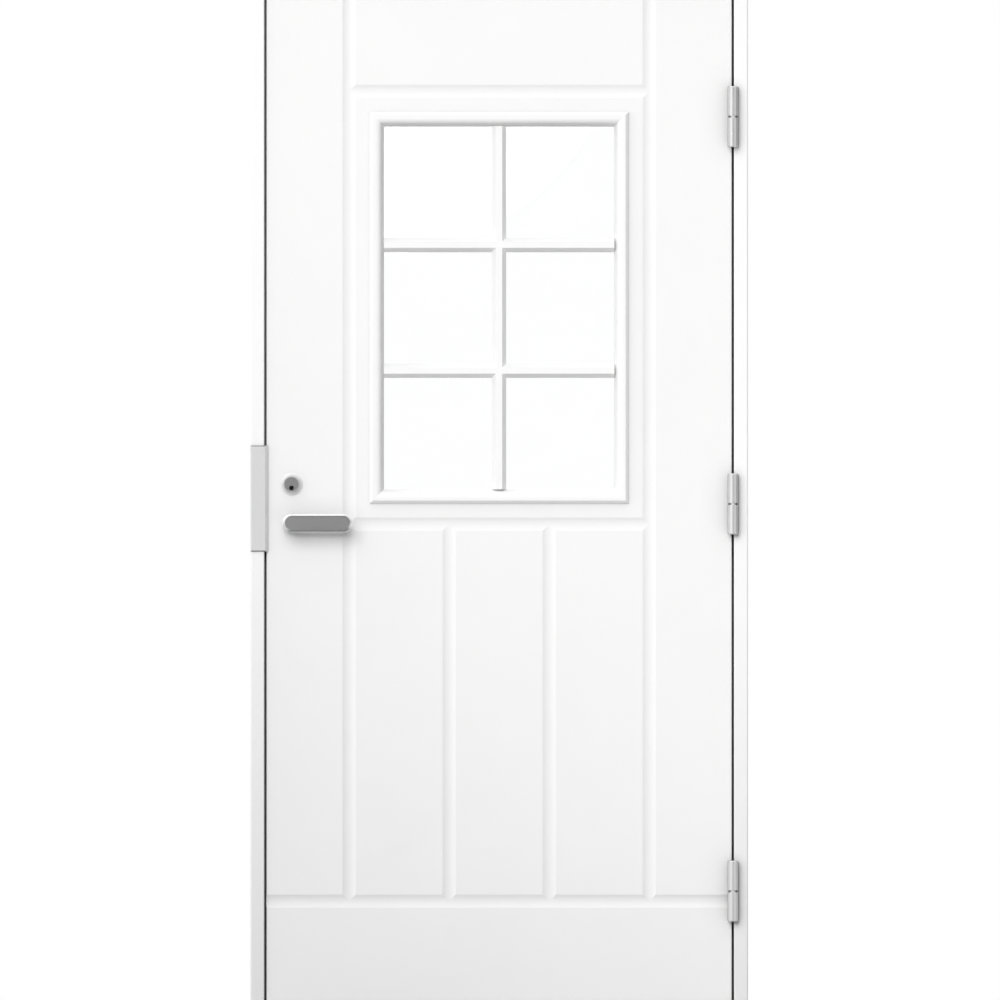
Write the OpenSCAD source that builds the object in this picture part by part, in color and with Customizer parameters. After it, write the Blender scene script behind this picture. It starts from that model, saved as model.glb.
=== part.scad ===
// Panelled front door: glazed, grooved leaf hung on three lift-off hinges in a four-sided frame.
// X runs to the hinges, Y from outside to inside, Z up. The origin is the middle of the frame's foot.

/* [Frame] */
// Overall width of the frame
frame_w = 990; // [790:1:1190]
// Overall height of the frame
frame_h = 2090; // [1940:1:2390]
// Depth of the frame, outside to inside
frame_d = 115; // [105:1:150]
// Thickness of the frame timber at its stop
frame_t = 42; // [39:1:60]
// Width of the frame's face beside and above the leaf
frame_face = 28; // [26:1:31]
// Radius of the frame's front edges
frame_edge_r = 3; // [1:0.5:5]
// Diameter of the bores for frame screws
fixing_d = 14; // [10:1:18]
// Distance of the end frame screws from the ends of a jamb
fixing_inset = 200; // [120:1:400]
// Distance between an end frame screw and the next one
fixing_pitch = 560; // [300:1:600]

/* [Threshold] */
// Height of the threshold's step behind the leaf
sill_h = 30; // [28:1:40]
// Height of the threshold under the leaf
sill_low = 13; // [10:0.5:16]
// Fall of the threshold towards the outside
sill_fall = 2; // [0.5:0.5:4]
// Thickness of the threshold's metal cover
cover_t = 2; // [1:0.5:3]

/* [Leaf] */
// Thickness of the leaf
leaf_t = 62; // [58:1:68]
// Depth of the leaf's face behind the frame's face
leaf_set = 5; // [0:0.5:7]
// Gap between the leaf and the frame's sides and head
leaf_gap = 4; // [3.5:0.5:6]
// Gap between the leaf and the threshold
foot_gap = 5; // [3:0.5:7]
// Thickness of the leaf's skins
skin_t = 8; // [6:0.5:10]
// Radius of the leaf's outer edges
leaf_edge_r = 2.5; // [1:0.5:4]
// Width of the stile that holds the lock
lock_stile_w = 95; // [85:1:120]
// Width of the stile at the hinges
hinge_stile_w = 60; // [45:1:100]
// Width of the top and bottom rails
rail_w = 80; // [50:1:100]
// Width of the timber lining round the light
lining_w = 35; // [25:1:45]

/* [Grooves] */
// Width of a groove at the face
groove_w = 26; // [20:0.5:34]
// Depth of a groove
groove_depth = 3.4; // [2:0.1:5]
// Distance between neighbouring grooves
board_pitch = 199; // [185:1:215]
// Distance of the top cross groove from the leaf's top edge
groove_top_drop = 199; // [150:1:260]
// Height of the middle cross groove above the leaf's foot
groove_mid = 980; // [900:1:1040]
// Height of the bottom cross groove above the leaf's foot
groove_low = 230; // [150:1:300]

/* [Light] */
// Distance from the grooves' centre lines to the moulding round the light
bead_margin = 41; // [25:1:60]
// Width of the moulding
bead_w = 28; // [24:0.5:34]
// Height of the moulding above the leaf's face
bead_proud = 10; // [7:0.5:12]
// Width of the moulding's inner edge: a slope up from the glass, then a rounding
bead_inner = 16; // [14:0.5:17]
// Radius of the rounding on the moulding's inner edge
bead_round = 12; // [9:0.5:13]
// Width of the moulding's outer slope
bead_slope = 6; // [4:0.5:9]
// Height of the moulding's outer foot
bead_foot = 2.5; // [1:0.5:4]
// Lap of the moulding over the skin
bead_lap = 13; // [9:0.5:15]
// Width of a glazing bar
bar_w = 28; // [20:0.5:36]
// Width of a glazing bar's flat front
bar_flat = 12; // [8:0.5:16]
// Height of a glazing bar above the leaf's face
bar_proud = 4; // [0:0.5:6]
// Drop of a glazing bar's bevels
bar_drop = 11; // [5:0.5:14]
// Number of panes side by side
pane_cols = 2; // [1:1:3]
// Number of panes above each other
pane_rows = 3; // [1:1:5]
// Thickness of a glass pane
pane_t = 4; // [3:0.5:5]
// Space between the panes
pane_space = 12; // [8:0.5:13]
// Width of the spacer between the panes
spacer_w = 7; // [5:0.5:9]
// Distance of the spacer from the edge of the panes
spacer_inset = 3; // [1:0.5:4]
// Room round the glass in its opening
glass_room = 4; // [3:0.5:5]
// Thickness of the seal between moulding and glass
glass_seal_t = 3; // [2:0.5:4]
// Length of a setting block under the glass
block_l = 60; // [40:1:90]

/* [Seal] */
// Space between the leaf and the frame's stop, filled by the seal
seal_gap = 6; // [5:0.5:8]
// Wall of the hollow seal
seal_wall = 1; // [0.8:0.1:1.4]
// Width of the seal's foot in its groove
seal_foot_w = 2; // [1.6:0.1:2.4]
// Depth of the seal's foot in its groove
seal_foot_d = 4; // [3:0.5:6]

/* [Hinges] */
// Height of a hinge
hinge_h = 121; // [100:1:150]
// Radius of a hinge's knuckles
knuckle_r = 10.75; // [9.5:0.25:12]
// Gap between a knuckle and the door's face
knuckle_gap = 0.5; // [0.4:0.1:1.5]
// Height of the bevel on a knuckle's end
knuckle_bevel = 2; // [1:0.5:4]
// Width of the bevel on a knuckle's end
knuckle_bevel_w = 1.5; // [1:0.5:4]
// Distance of the end hinges' middles from the ends of the leaf
hinge_inset = 250; // [180:1:320]
// Thickness of a hinge plate
plate_t = 3; // [2.5:0.5:4]
// Depth of a hinge plate in the edge of the door
plate_d = 30; // [25:1:36]
// Radius of a hinge pin
pin_r = 6; // [5:0.25:7]
// Length of a hinge pin in each knuckle
pin_l = 42; // [30:1:45]
// Thickness of the washer between the knuckles
washer_t = 3.5; // [2:0.5:5]
// Step of the washer's rim inside the knuckles
washer_step = 1.2; // [0.5:0.1:2]
// Distance between the screws of a hinge plate
hinge_screw_pitch = 42; // [30:1:46]

/* [Screws] */
// Radius of a screw head
screw_head_r = 4.5; // [4:0.25:5]
// Radius of a screw shank
screw_r = 2.2; // [1.8:0.1:2.5]
// Length of a screw
screw_l = 24; // [18:1:25]
// Length of the cross recess in a screw head
cross_l = 4.6; // [4:0.1:5]
// Width of the cross recess
cross_w = 1.3; // [1:0.1:1.6]
// Depth of the cross recess
cross_depth = 1.8; // [1.2:0.1:2]

/* [Lock] */
// Distance of the spindle from the leaf's edge
backset = 50; // [48:1:60]
// Height of the spindle above the floor
handle_z = 1000; // [960:1:1060]
// Height of the key's axis above the spindle
key_rise = 70; // [66:1:80]
// Thickness of the lock case
case_t = 18; // [17:0.5:20]
// Depth of the lock case
case_d = 75; // [74:1:80]
// Wall of the lock case
case_wall = 2; // [1.5:0.25:2]
// Reach of the lock case below the spindle and above the key's axis
case_reach = 46; // [40:1:55]
// Thickness of the forend
forend_t = 3; // [2.5:0.5:4]
// Width of the forend
forend_w = 22; // [20:1:24]
// Reach of the forend past the lock case at each end
forend_reach = 20; // [16:1:30]
// Throw of the latch bolt
latch_throw = 12; // [10:0.5:12]
// Height of the latch bolt
latch_h = 20; // [16:1:20]
// Throw of the dead bolt
dead_throw = 20; // [18:0.5:20]
// Height of the dead bolt
dead_h = 30; // [26:1:32]
// Thickness of the strike plate
strike_t = 3; // [2:0.5:4]
// Width of the strike plate
strike_w = 26; // [24:1:30]

/* [Lever] */
// Length of a lever
lever_l = 140; // [110:1:160]
// Height of a lever
lever_h = 37; // [32:1:42]
// Thickness of a lever
lever_t = 12; // [11:0.5:16]
// Radius of a lever's front edges
lever_edge_r = 6; // [2:0.5:6]
// Radius of a lever's back edges
lever_back_r = 2; // [1:0.5:4]
// Finger room between a lever and the leaf
lever_room = 44; // [38:1:50]
// Radius of a lever's neck
neck_r = 10; // [8.5:0.5:11]
// Radius of a lever's rose
rose_r = 18; // [15:0.5:18.5]
// Thickness of a rose
rose_t = 8; // [6:0.5:10]
// Width of the square spindle
spindle_w = 8; // [7:0.5:9]

/* [Cylinder] */
// Radius of the cylinder ring at the leaf
ring_r = 22; // [21:0.5:26]
// Radius of the cylinder ring at its face
ring_face_r = 16; // [15.5:0.25:18]
// Height of the cylinder ring
ring_t = 11; // [8:0.5:14]
// Radius of the cylinder body
barrel_r = 14; // [13.5:0.25:15]
// Height of the cylinder's middle above the key's axis
barrel_rise = 7.3; // [6.5:0.1:7.5]
// Radius of the key plug
plug_r = 6.2; // [5.5:0.1:6.4]
// Width of the keyhole
key_w = 3; // [2:0.25:4]
// Height of the keyhole
key_h = 7; // [5:0.5:9]
// Radius of the recess round the keyhole
recess_r = 4.6; // [3:0.1:5]
// Depth of the recess round the keyhole
recess_depth = 1.2; // [0.8:0.1:2]
// Thickness of the shutter in the recess
shutter_t = 0.7; // [0.5:0.1:1]
// Radius of the thumb turn's rose
turn_rose_r = 22; // [18:0.5:26]
// Radius of the thumb turn's shaft
turn_shaft_r = 6; // [5.5:0.25:7]
// Length of the thumb turn's grip
turn_l = 40; // [30:1:50]
// Thickness of the thumb turn's grip
turn_w = 11; // [9:0.5:12]
// Reach of the thumb turn's grip from its rose
turn_reach = 22; // [16:1:28]

/* [Guard plate] */
// Width of the guard plate's face beyond the leaf's edge
guard_reach = 31.5; // [20:0.5:31.5]
// Height of the guard plate
guard_h = 211; // [160:1:260]
// Height of the guard plate's middle above the spindle
guard_rise = 49; // [30:1:60]
// Thickness of the guard plate
guard_t = 3; // [2:0.5:4]
// Gap between the guard plate and the frame's face
guard_gap = 1; // [0.5:0.5:2]
// Width and depth of the guard plate's slanted fold
guard_fold = 5.5; // [4:0.5:7]
// Depth of the guard plate's leg in the leaf's edge
guard_leg = 16; // [12:0.5:17]
// Bevel of the guard plate's edges
guard_bevel = 2.2; // [0.5:0.1:2.4]

/* [Hidden] */
$fn = 96;
// Clearances: running fit, loose fit between seated pieces, room for inner moving pieces, overrun of cuts
run_fit = 0.05;
seat_fit = 0.2;
move_room = 0.5;
over = 1;

// Planes and edges of the frame and the leaf
front_y = -frame_d / 2;
back_y = frame_d / 2;
face_y = front_y + leaf_set;
leaf_w = frame_w - 2 * (frame_face + leaf_gap);
leaf_x = leaf_w / 2;
leaf_z = sill_low + foot_gap;
leaf_top = frame_h - frame_face - leaf_gap;
leaf_h = leaf_top - leaf_z;
leaf_mid_y = face_y + leaf_t / 2;
skin_y = face_y + skin_t;
core_t = leaf_t - 2 * skin_t;
stop_y = face_y + leaf_t + seal_gap;
rebate_x = frame_w / 2 - frame_face;
stop_x = frame_w / 2 - frame_t;
fixing_y = (stop_y + back_y) / 2;
fixing_zs = [
    fixing_inset,
    fixing_inset + fixing_pitch,
    frame_h - fixing_inset - fixing_pitch,
    frame_h - fixing_inset
];

// Grooves, as arcs of one circle, and their centre lines
groove_r = (groove_w * groove_w / 4 + groove_depth * groove_depth) / (2 * groove_depth);
groove_low_z = leaf_z + groove_low;
groove_mid_z = leaf_z + groove_mid;
groove_top_z = leaf_top - groove_top_drop;
board_xs = [-1.5 * board_pitch, -0.5 * board_pitch, 0.5 * board_pitch, 1.5 * board_pitch];
side_groove_x = 1.5 * board_pitch;

// Light: moulding, opening in the leaf, glass and clear view
bead_out_w = 2 * side_groove_x - 2 * bead_margin;
bead_out_h = groove_top_z - groove_mid_z - 2 * bead_margin;
light_z = (groove_top_z + groove_mid_z) / 2;
open_w = bead_out_w - 2 * bead_lap;
open_h = bead_out_h - 2 * bead_lap;
glass_w = open_w - 2 * glass_room;
glass_h = open_h - 2 * glass_room;
view_w = bead_out_w - 2 * bead_w;
view_h = bead_out_h - 2 * bead_w;
unit_t = 3 * pane_t + 2 * pane_space;
glass_depth = (leaf_t - unit_t) / 2;
lip_depth = glass_depth - glass_seal_t;

// Hinges
hinge_x = leaf_x + leaf_gap / 2;
hinge_y = front_y - knuckle_gap - knuckle_r;
hinge_zs = [leaf_z + hinge_inset, (leaf_z + leaf_top) / 2, leaf_top - hinge_inset];
web_h = hinge_h / 2 - washer_t / 2 - knuckle_bevel;

// Lock, cylinder and guard plate
lock_x = -leaf_x + backset;
key_z = handle_z + key_rise;
barrel_z = key_z + barrel_rise;
case_x = -leaf_x + forend_t;
case_z = handle_z - case_reach;
case_h = key_rise + 2 * case_reach;
forend_z = case_z - forend_reach;
forend_h = case_h + 2 * forend_reach;
inner_t = case_t - 2 * case_wall;
bolt_t = inner_t - 2 * move_room;
hub_r = 7.9;
guard_mid_z = handle_z + guard_rise;
guard_y = front_y - guard_gap - guard_t;
plug_front = face_y - ring_t;
keyhole_depth = 20;

// Latch: a finger on the follower pushes the lug on the latch's tail
finger_r = 17;
finger_w = 5;
collar_r = 11;
tail_low = 19;
tail_h = 5;
tail_t = 5;
lug_w = 8;
lug_room = 0.6;
latch_len = 23;

// Dead bolt: a crank pin on the cam runs in a slot of the bolt's tail
crank_r = dead_throw / sqrt(2);
crank_w = 8;
crank_t = 5;
crank_pin_r = 2;
slot_room = 0.9;
dead_len = 33;
dead_low = -4;
dead_tail_t = 3;
dead_tail_low = hub_r + move_room;
dead_tail_h = 14;
dead_cheek = 5;

// Shared shapes

// What rounding an edge takes off: corner at the origin, material towards +x and +y
module corner_waste(r) {
    difference() {
        translate([-over, -over]) square(r + over);
        translate([r, r]) circle(r);
    }
}

// Rounding tool along Z, centred on the origin
module edge_waste(length, r) {
    linear_extrude(length, center = true) corner_waste(r);
}

// Bar along +Y with its axis at x, z
module bar_y(r, y0, y1, x, z) {
    translate([x, y0, z]) rotate([-90, 0, 0]) cylinder(r = r, h = y1 - y0);
}

// Block given by its two corners
module block(low, high) {
    translate(low) cube(high - low);
}

// The leaf's inner side mirrors its outer side
module inside() {
    translate([0, 2 * leaf_mid_y, 0]) mirror([0, 1, 0]) children();
}

// Countersunk screw with its head's top at the origin, pointing to -Z; with room, the hole for it
module screw(length, room = 0) {
    head = screw_head_r + room;
    shank = screw_r + room;
    top = room > 0 ? [[0, over], [head, over]] : [[0, 0]];
    difference() {
        rotate_extrude() polygon(concat(top, [
            [head, 0], [shank, shank - head], [shank, screw_r - length - room], [0, -length - 2 * room]
        ]));
        if (room == 0) for (turn = [0, 90]) rotate([0, 0, turn])
            block([-cross_l / 2, -cross_w / 2, -cross_depth], [cross_l / 2, cross_w / 2, over]);
    }
}

// Screws driven towards -X (turn 1) or +X (turn -1)
module screws_x(places, turn, room = 0) {
    for (p = places) translate(p) rotate([0, 90 * turn, 0]) screw(screw_l, room);
}

hinge_screw_y = face_y + plate_d / 2;
function hinge_screw_places(x) = [
    for (z = hinge_zs, k = [-1, 0, 1]) [x, hinge_screw_y + (k == 0 ? 1 : -1) * screw_head_r, z + k * hinge_screw_pitch]
];
leaf_plate_screws = hinge_screw_places(leaf_x);
frame_plate_screws = hinge_screw_places(rebate_x);
forend_screw_places = [
    for (z = [forend_z + forend_reach / 2, forend_z + forend_h - forend_reach / 2]) [-leaf_x, leaf_mid_y, z]
];
guard_screw_places = [
    for (k = [-1, 0, 1])
        [-leaf_x, face_y + guard_leg - screw_head_r - over, guard_mid_z + k * (guard_h / 2 - 4 * screw_head_r)]
];
strike_z = case_z - forend_reach / 2;
strike_h = case_h + forend_reach;
strike_screw_places = [
    for (z = [strike_z + 2 * screw_head_r, strike_z + strike_h - 2 * screw_head_r]) [-rebate_x, leaf_mid_y, z]
];

// Frame

// Section of a jamb at +X: thin beside the leaf, full at the stop behind it
module jamb_section() {
    half = frame_w / 2;
    difference() {
        polygon([
            [rebate_x, front_y], [half, front_y], [half, back_y], [stop_x, back_y], [stop_x, stop_y], [rebate_x, stop_y]
        ]);
        translate([rebate_x, front_y]) corner_waste(frame_edge_r);
        translate([half, front_y]) mirror([1, 0]) corner_waste(frame_edge_r);
        translate([stop_x, back_y]) mirror([0, 1]) corner_waste(frame_edge_r);
    }
}

module jamb_fixings() {
    for (z = fixing_zs) translate([stop_x - over, fixing_y, z]) rotate([0, 90, 0])
        cylinder(d = fixing_d, h = frame_t + 2 * over);
}

// Hinge plates at one height, in the leaf (side -1) or in the frame (side 1)
module plate_at(z, side, room = 0) {
    x = hinge_x + side * leaf_gap / 2;
    near = side < 0 ? x - plate_t : x - room;
    far = side < 0 ? x + room : x + plate_t;
    fit = room > 0 ? seat_fit : 0;
    front = side < 0 ? face_y : front_y;
    block(
        [near, front - room, z - hinge_h / 2 - fit],
        [far, face_y + plate_d + fit, z + hinge_h / 2 + fit]
    );
}

module hinge_jamb() {
    color("white") difference() {
        linear_extrude(frame_h) jamb_section();
        jamb_fixings();
        for (z = hinge_zs) plate_at(z, 1, over);
        screws_x(frame_plate_screws, -1, seat_fit);
        seal_groove_x();
    }
}

// Pockets behind the strike plate for the two bolts
module strike_openings(depth, side) {
    y = bolt_t / 2 + side;
    block(
        [-rebate_x - depth, leaf_mid_y - y, handle_z - latch_h / 2 - side],
        [-rebate_x + over, leaf_mid_y + y, handle_z + latch_h / 2 + side]
    );
    block(
        [-rebate_x - depth, leaf_mid_y - y, key_z + dead_low - side],
        [-rebate_x + over, leaf_mid_y + y, key_z + dead_low + dead_h + side]
    );
}

strike_side = 1.5;
strike_past = 2;
strike_depth = dead_throw - leaf_gap + strike_past;
module lock_jamb() {
    color("white") difference() {
        mirror([1, 0, 0]) linear_extrude(frame_h) jamb_section();
        mirror([1, 0, 0]) jamb_fixings();
        block(
            [-rebate_x - strike_t, leaf_mid_y - strike_w / 2 - seat_fit, strike_z - seat_fit],
            [-rebate_x + over, leaf_mid_y + strike_w / 2 + seat_fit, strike_z + strike_h + seat_fit]
        );
        strike_openings(strike_depth, strike_side);
        screws_x(strike_screw_places, 1, seat_fit);
        mirror([1, 0, 0]) seal_groove_x();
    }
}

module frame_head() {
    color("white") difference() {
        union() {
            block([-rebate_x, front_y, frame_h - frame_face], [rebate_x, stop_y, frame_h]);
            block([-stop_x, stop_y, frame_h - frame_t], [stop_x, back_y, frame_h]);
        }
        translate([0, front_y, frame_h - frame_face]) rotate([0, -90, 0])
            edge_waste(frame_w, frame_edge_r);
        translate([0, back_y, frame_h - frame_t]) mirror([0, 1, 0]) rotate([0, -90, 0])
            edge_waste(frame_w, frame_edge_r);
        translate([0, stop_y, seal_head_z]) block(
            [-frame_w / 2, -over, -groove_half], [frame_w / 2, groove_in, groove_half]
        );
    }
}

// Timber of the threshold, below its metal cover in front and with a step behind the leaf
module threshold() {
    color("peru") difference() {
        union() {
            translate([-rebate_x, 0, 0]) rotate([90, 0, 90]) linear_extrude(2 * rebate_x) polygon([
                [front_y + cover_t, 0], [stop_y, 0], [stop_y, sill_low - cover_t],
                [front_y + cover_t, sill_low - cover_t - sill_fall]
            ]);
            block([-stop_x, stop_y, 0], [stop_x, back_y, sill_h]);
        }
        translate([0, back_y, sill_h]) mirror([0, 1, 0]) rotate([0, 90, 0]) edge_waste(frame_w, frame_edge_r);
        translate([0, stop_y, seal_foot_z]) block(
            [-frame_w / 2, -over, -groove_half], [frame_w / 2, groove_in, groove_half]
        );
    }
}

// Metal cover that sheds water: a sloped plate with a lip down the front
module threshold_cover() {
    color("silver") translate([-rebate_x, 0, 0]) rotate([90, 0, 90]) linear_extrude(2 * rebate_x) polygon([
        [front_y, 0], [front_y + cover_t, 0], [front_y + cover_t, sill_low - cover_t - sill_fall],
        [stop_y, sill_low - cover_t], [stop_y, sill_low], [front_y, sill_low - sill_fall]
    ]);
}

// Seals: a hollow bulb in front of the stop, held by a foot in a groove
seal_side_x = (leaf_x + stop_x) / 2;
seal_head_z = (leaf_top + frame_h - frame_t) / 2;
seal_foot_z = (leaf_z + sill_h) / 2;
seal_r = seal_gap / 2 - seat_fit;
groove_half = seal_foot_w / 2 + seat_fit;
groove_in = seal_foot_d + 2 * seat_fit;

module seal_groove_x() {
    block(
        [seal_side_x - groove_half, stop_y - over, -over],
        [seal_side_x + groove_half, stop_y + groove_in, frame_h + over]
    );
}

// Section of the seal: x across, y away from the stop
module seal_section() {
    difference() {
        union() {
            translate([-seal_r, 0]) square([2 * seal_r, seal_r]);
            translate([0, seal_r]) circle(seal_r);
            translate([-seal_foot_w / 2, -seal_foot_d]) square([seal_foot_w, seal_foot_d + seal_wall]);
        }
        translate([0, seal_r]) circle(seal_r - seal_wall);
    }
}

// Seal lying along X, with its back at y = 0
module seal_along_x(length) {
    rotate([0, 90, 0]) linear_extrude(length, center = true) rotate([0, 0, 180]) seal_section();
}

module frame_seal() {
    color("dimgray") {
        for (side = [-1, 1])
            translate([side * seal_side_x, stop_y, seal_foot_z + seal_r + seat_fit])
                linear_extrude(seal_head_z - seal_foot_z - 2 * (seal_r + seat_fit))
                    rotate([0, 0, 180]) seal_section();
        translate([0, stop_y, seal_head_z]) seal_along_x(2 * stop_x);
    }
}

module threshold_seal() {
    color("dimgray") translate([0, stop_y, seal_foot_z]) seal_along_x(2 * stop_x);
}

module strike_plate() {
    color("silver") difference() {
        block(
            [-rebate_x - strike_t, leaf_mid_y - strike_w / 2, strike_z],
            [-rebate_x, leaf_mid_y + strike_w / 2, strike_z + strike_h]
        );
        strike_openings(strike_t + over, strike_side);
        screws_x(strike_screw_places, 1, run_fit);
    }
}

module strike_screws() {
    color("silver") screws_x(strike_screw_places, 1);
}

// Hinges

// One knuckle from z = 0 up to its bevelled end, with a blind bore from below
module knuckle() {
    h = hinge_h / 2 - washer_t / 2;
    rotate_extrude() polygon([
        [pin_r + run_fit, 0], [knuckle_r, 0], [knuckle_r, h - knuckle_bevel],
        [knuckle_r - knuckle_bevel_w, h], [0, h], [0, pin_l + seat_fit], [pin_r + run_fit, pin_l + seat_fit]
    ]);
}

// Hinge half in the leaf (side -1, upper knuckle) or in the frame (side 1, lower knuckle)
module hinge_half(z, side) {
    x = hinge_x + side * leaf_gap / 2;
    near = side < 0 ? x - plate_t : x;
    foot = z - side * washer_t / 2;
    web_z = side < 0 ? foot : foot - web_h;
    lift = side < 0 ? seat_fit : 0;
    color("silver") {
        difference() {
            plate_at(z, side);
            screws_x(side < 0 ? leaf_plate_screws : frame_plate_screws, -side, run_fit);
        }
        translate([0, 0, lift]) {
            translate([hinge_x, hinge_y, foot]) mirror([0, 0, side < 0 ? 0 : 1]) knuckle();
            difference() {
                block([near, hinge_y, web_z], [near + plate_t, face_y + over, web_z + web_h]);
                translate([hinge_x, hinge_y, web_z - over]) cylinder(r = knuckle_r - over, h = web_h + 2 * over);
            }
        }
    }
}

module bottom_hinge_frame_half() hinge_half(hinge_zs[0], 1);
module middle_hinge_frame_half() hinge_half(hinge_zs[1], 1);
module top_hinge_frame_half() hinge_half(hinge_zs[2], 1);
module bottom_hinge_leaf_half() hinge_half(hinge_zs[0], -1);
module middle_hinge_leaf_half() hinge_half(hinge_zs[1], -1);
module top_hinge_leaf_half() hinge_half(hinge_zs[2], -1);

module hinge_pins() {
    color("gainsboro") for (z = hinge_zs) translate([hinge_x, hinge_y, z - washer_t / 2 - pin_l - seat_fit])
        cylinder(r = pin_r, h = 2 * pin_l + washer_t + seat_fit);
}

module hinge_washers() {
    color("dimgray") for (z = hinge_zs) translate([hinge_x, hinge_y, z - washer_t / 2]) difference() {
        cylinder(r = knuckle_r - washer_step, h = washer_t);
        translate([0, 0, -over]) cylinder(r = pin_r + run_fit, h = washer_t + 2 * over);
    }
}

module hinge_frame_screws() {
    color("silver") screws_x(frame_plate_screws, -1);
}

module hinge_leaf_screws() {
    color("silver") screws_x(leaf_plate_screws, 1);
}

// Leaf

// Groove along Z between two heights, and along X between two places, on the outer face
module groove_z(x, z0, z1) {
    translate([x, face_y + groove_depth - groove_r, z0]) cylinder(r = groove_r, h = z1 - z0, $fn = 180);
}

module groove_x(z, x0, x1) {
    translate([x0, face_y + groove_depth - groove_r, z]) rotate([0, 90, 0])
        cylinder(r = groove_r, h = x1 - x0, $fn = 180);
}

module grooves() {
    for (i = [0, 3]) groove_z(board_xs[i], groove_low_z, leaf_top + over);
    for (i = [1, 2]) groove_z(board_xs[i], groove_low_z, groove_mid_z);
    groove_x(groove_top_z, -side_groove_x, side_groove_x);
    groove_x(groove_mid_z, -side_groove_x, side_groove_x);
    groove_x(groove_low_z, -leaf_x - over, leaf_x + over);
}

// Opening of the light through the leaf
module light_opening() {
    block(
        [-open_w / 2, face_y - over, light_z - open_h / 2],
        [open_w / 2, face_y + leaf_t + over, light_z + open_h / 2]
    );
}

// One grooved skin, on the outer side
module skin() {
    difference() {
        block([-leaf_x, face_y, leaf_z], [leaf_x, skin_y, leaf_top]);
        grooves();
        light_opening();
        translate([-leaf_x, face_y, leaf_z + leaf_h / 2]) edge_waste(leaf_h + 2 * over, leaf_edge_r);
        translate([leaf_x, face_y, leaf_z + leaf_h / 2]) mirror([1, 0, 0])
            edge_waste(leaf_h + 2 * over, leaf_edge_r);
        translate([0, face_y, leaf_top]) rotate([0, 90, 0]) edge_waste(leaf_w + 2 * over, leaf_edge_r);
        translate([0, face_y, leaf_z]) rotate([0, -90, 0]) edge_waste(leaf_w + 2 * over, leaf_edge_r);
        bar_y(neck_r + seat_fit, face_y - over, skin_y + over, lock_x, handle_z);
    }
}

// Room in the leaf's edge for the guard plate's leg
module guard_room() {
    block(
        [-leaf_x - over, face_y - over, guard_mid_z - guard_h / 2 - seat_fit],
        [-leaf_x + guard_t, face_y + guard_leg + seat_fit, guard_mid_z + guard_h / 2 + seat_fit]
    );
}

// Bore for the cylinder on the outer side and for the thumb turn's shaft on the inner side
module barrel_bore() {
    bar_y(barrel_r + seat_fit, face_y - over, leaf_mid_y, lock_x, barrel_z);
}

module turn_bore() {
    bar_y(turn_shaft_r + seat_fit, leaf_mid_y, face_y + leaf_t + over, lock_x, key_z);
}

module outer_skin() {
    color("white") difference() {
        skin();
        for (z = hinge_zs) plate_at(z, -1, over);
        guard_room();
        barrel_bore();
    }
}

module inner_skin() {
    color("white") difference() {
        inside() skin();
        turn_bore();
    }
}

// Mortise for the lock case and its forend
module lock_mortise() {
    block(
        [case_x - over, leaf_mid_y - case_t / 2 - seat_fit, case_z - seat_fit],
        [case_x + case_d + seat_fit, leaf_mid_y + case_t / 2 + seat_fit, case_z + case_h + seat_fit]
    );
    block(
        [-leaf_x - over, leaf_mid_y - forend_w / 2 - seat_fit, forend_z - seat_fit],
        [case_x, leaf_mid_y + forend_w / 2 + seat_fit, forend_z + forend_h + seat_fit]
    );
}

module lock_stile() {
    color("burlywood") difference() {
        block([-leaf_x, skin_y, leaf_z], [-leaf_x + lock_stile_w, skin_y + core_t, leaf_top]);
        lock_mortise();
        guard_room();
        barrel_bore();
        turn_bore();
        bar_y(neck_r + seat_fit, face_y, face_y + leaf_t, lock_x, handle_z);
        screws_x(concat(forend_screw_places, guard_screw_places), -1, seat_fit);
    }
}

module hinge_stile() {
    color("burlywood") difference() {
        block([leaf_x - hinge_stile_w, skin_y, leaf_z], [leaf_x, skin_y + core_t, leaf_top]);
        for (z = hinge_zs) plate_at(z, -1, over);
        screws_x(leaf_plate_screws, 1, seat_fit);
    }
}

rail_x0 = -leaf_x + lock_stile_w;
rail_x1 = leaf_x - hinge_stile_w;
module top_rail() {
    color("burlywood") block([rail_x0, skin_y, leaf_top - rail_w], [rail_x1, skin_y + core_t, leaf_top]);
}

module bottom_rail() {
    color("burlywood") block([rail_x0, skin_y, leaf_z], [rail_x1, skin_y + core_t, leaf_z + rail_w]);
}

module lining_sides() {
    color("burlywood") for (side = [0, 1]) mirror([side, 0, 0]) block(
        [open_w / 2, skin_y, light_z - open_h / 2 - lining_w],
        [open_w / 2 + lining_w, skin_y + core_t, light_z + open_h / 2 + lining_w]
    );
}

module lining_rails() {
    color("burlywood") for (z = [light_z - open_h / 2 - lining_w, light_z + open_h / 2])
        block([-open_w / 2, skin_y, z], [open_w / 2, skin_y + core_t, z + lining_w]);
}

module insulation_core() {
    color("aliceblue") difference() {
        block([rail_x0, skin_y, leaf_z + rail_w], [rail_x1, skin_y + core_t, leaf_top - rail_w]);
        block(
            [-open_w / 2 - lining_w, face_y, light_z - open_h / 2 - lining_w],
            [open_w / 2 + lining_w, face_y + leaf_t, light_z + open_h / 2 + lining_w]
        );
    }
}

// Light

// Pane number 0 to 2, from the outside in
module pane(i) {
    y = face_y + glass_depth + i * (pane_t + pane_space);
    color("lightcyan", 0.4) block(
        [-glass_w / 2, y, light_z - glass_h / 2], [glass_w / 2, y + pane_t, light_z + glass_h / 2]
    );
}

module outer_pane() pane(0);
module middle_pane() pane(1);
module inner_pane() pane(2);

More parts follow.
